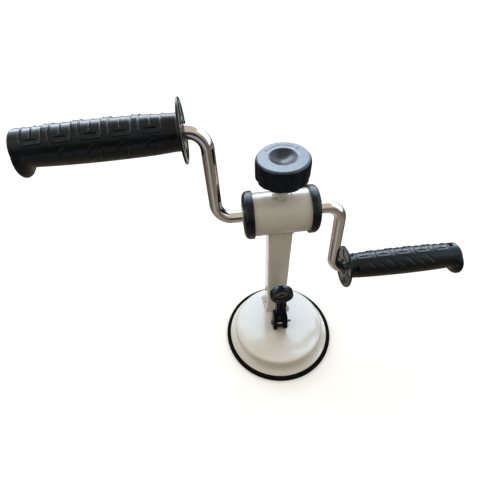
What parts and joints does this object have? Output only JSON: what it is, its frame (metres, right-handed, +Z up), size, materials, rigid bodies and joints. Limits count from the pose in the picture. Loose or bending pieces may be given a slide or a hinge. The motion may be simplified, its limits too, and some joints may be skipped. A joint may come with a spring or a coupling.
{
  "type": "arm exerciser",
  "caption": "Tabletop hand-crank arm exerciser: suction base with cam lever, post, cranked shaft with spinning grips, and a friction brake set by a fluted knob.",
  "frame": {"origin": "centre of the suction pad's flat underside, where the object stands on a table", "axes": "+X along the crank axis to the user's right, -Y towards the user, +Z up"},
  "size_m": [0.4317, 0.1468, 0.3062],
  "materials": {
    "white_enamel": "glossy white stove enamel",
    "pad_rubber": "smooth black rubber",
    "grip_rubber": "satin moulded black rubber",
    "knob_plastic": "satin black moulding",
    "cap_plastic": "satin black moulding",
    "lever_plastic": "glossy black moulding",
    "chrome_rod": "bright chrome plate",
    "bright_steel": "zinc plated steel",
    "dark_steel": "blackened steel",
    "brass": "turned brass",
    "nylon": "natural white nylon",
    "brake_lining": "pressed friction lining"
  },
  "bodies": {
    "stand": {"suction_pad": "pad_rubber", "base_cover": "white_enamel", "stud_guide": "nylon", "post": "white_enamel", "hub_tube": "white_enamel", "tension_boss": "white_enamel", "left_end_cap": "cap_plastic", "right_end_cap": "cap_plastic", "left_bush": "nylon", "right_bush": "nylon"},
    "crank": {"left_crank": "chrome_rod", "right_crank": "chrome_rod", "brake_drum": "bright_steel", "left_grub_screw": "bright_steel", "right_grub_screw": "bright_steel", "left_thrust_washer": "bright_steel", "right_thrust_washer": "bright_steel", "left_grip_retainer": "bright_steel", "right_grip_retainer": "bright_steel"},
    "left_grip": {"left_grip": "grip_rubber", "left_grip_liner": "cap_plastic"},
    "right_grip": {"right_grip": "grip_rubber", "right_grip_liner": "cap_plastic"},
    "brake_shoe": {"brake_shoe": "brake_lining"},
    "tension_knob": {"tension_screw": "bright_steel", "tension_knob": "knob_plastic"},
    "draw_stud": {"draw_stud": "bright_steel"},
    "cam_lever": {"cam_lever": "lever_plastic", "lever_bolt": "dark_steel", "lever_nut": "brass"}
  },
  "joints": [
    {"name": "crank_spin", "type": "hinge", "parent": "stand", "child": "crank", "pos_m": [0, 0.034, 0.1975], "axis": [1, 0, 0], "continuous": true},
    {"name": "left_grip_spin", "type": "hinge", "parent": "crank", "child": "left_grip", "pos_m": [-0.15, 0.04876, 0.28121], "axis": [1, 0, 0], "continuous": true},
    {"name": "right_grip_spin", "type": "hinge", "parent": "crank", "child": "right_grip", "pos_m": [0.15, 0.01924, 0.11379], "axis": [1, 0, 0], "continuous": true},
    {"name": "brake_shoe_slide", "type": "slide", "parent": "stand", "child": "brake_shoe", "axis": [0, 0, 1], "range_m": [-0.00025, 0.001]},
    {"name": "tension_knob_turn", "type": "hinge", "parent": "brake_shoe", "child": "tension_knob", "pos_m": [0, 0.034, 0.25], "axis": [0, 0, 1], "range_deg": [-72, 288]},
    {"name": "stud_lift", "type": "slide", "parent": "stand", "child": "draw_stud", "axis": [0, 0, 1], "range_m": [0, 0.00393]},
    {"name": "suction_lever", "type": "hinge", "parent": "draw_stud", "child": "cam_lever", "pos_m": [0, -0.003, 0.035], "axis": [1, 0, 0], "range_deg": [0, 90]}
  ],
  "couplings": [
    {"joint": "tension_knob_turn", "follows": "brake_shoe_slide", "rad_per_m": 5026.5},
    {"joint": "suction_lever", "follows": "stud_lift", "rad_per_m": 400}
  ]
}
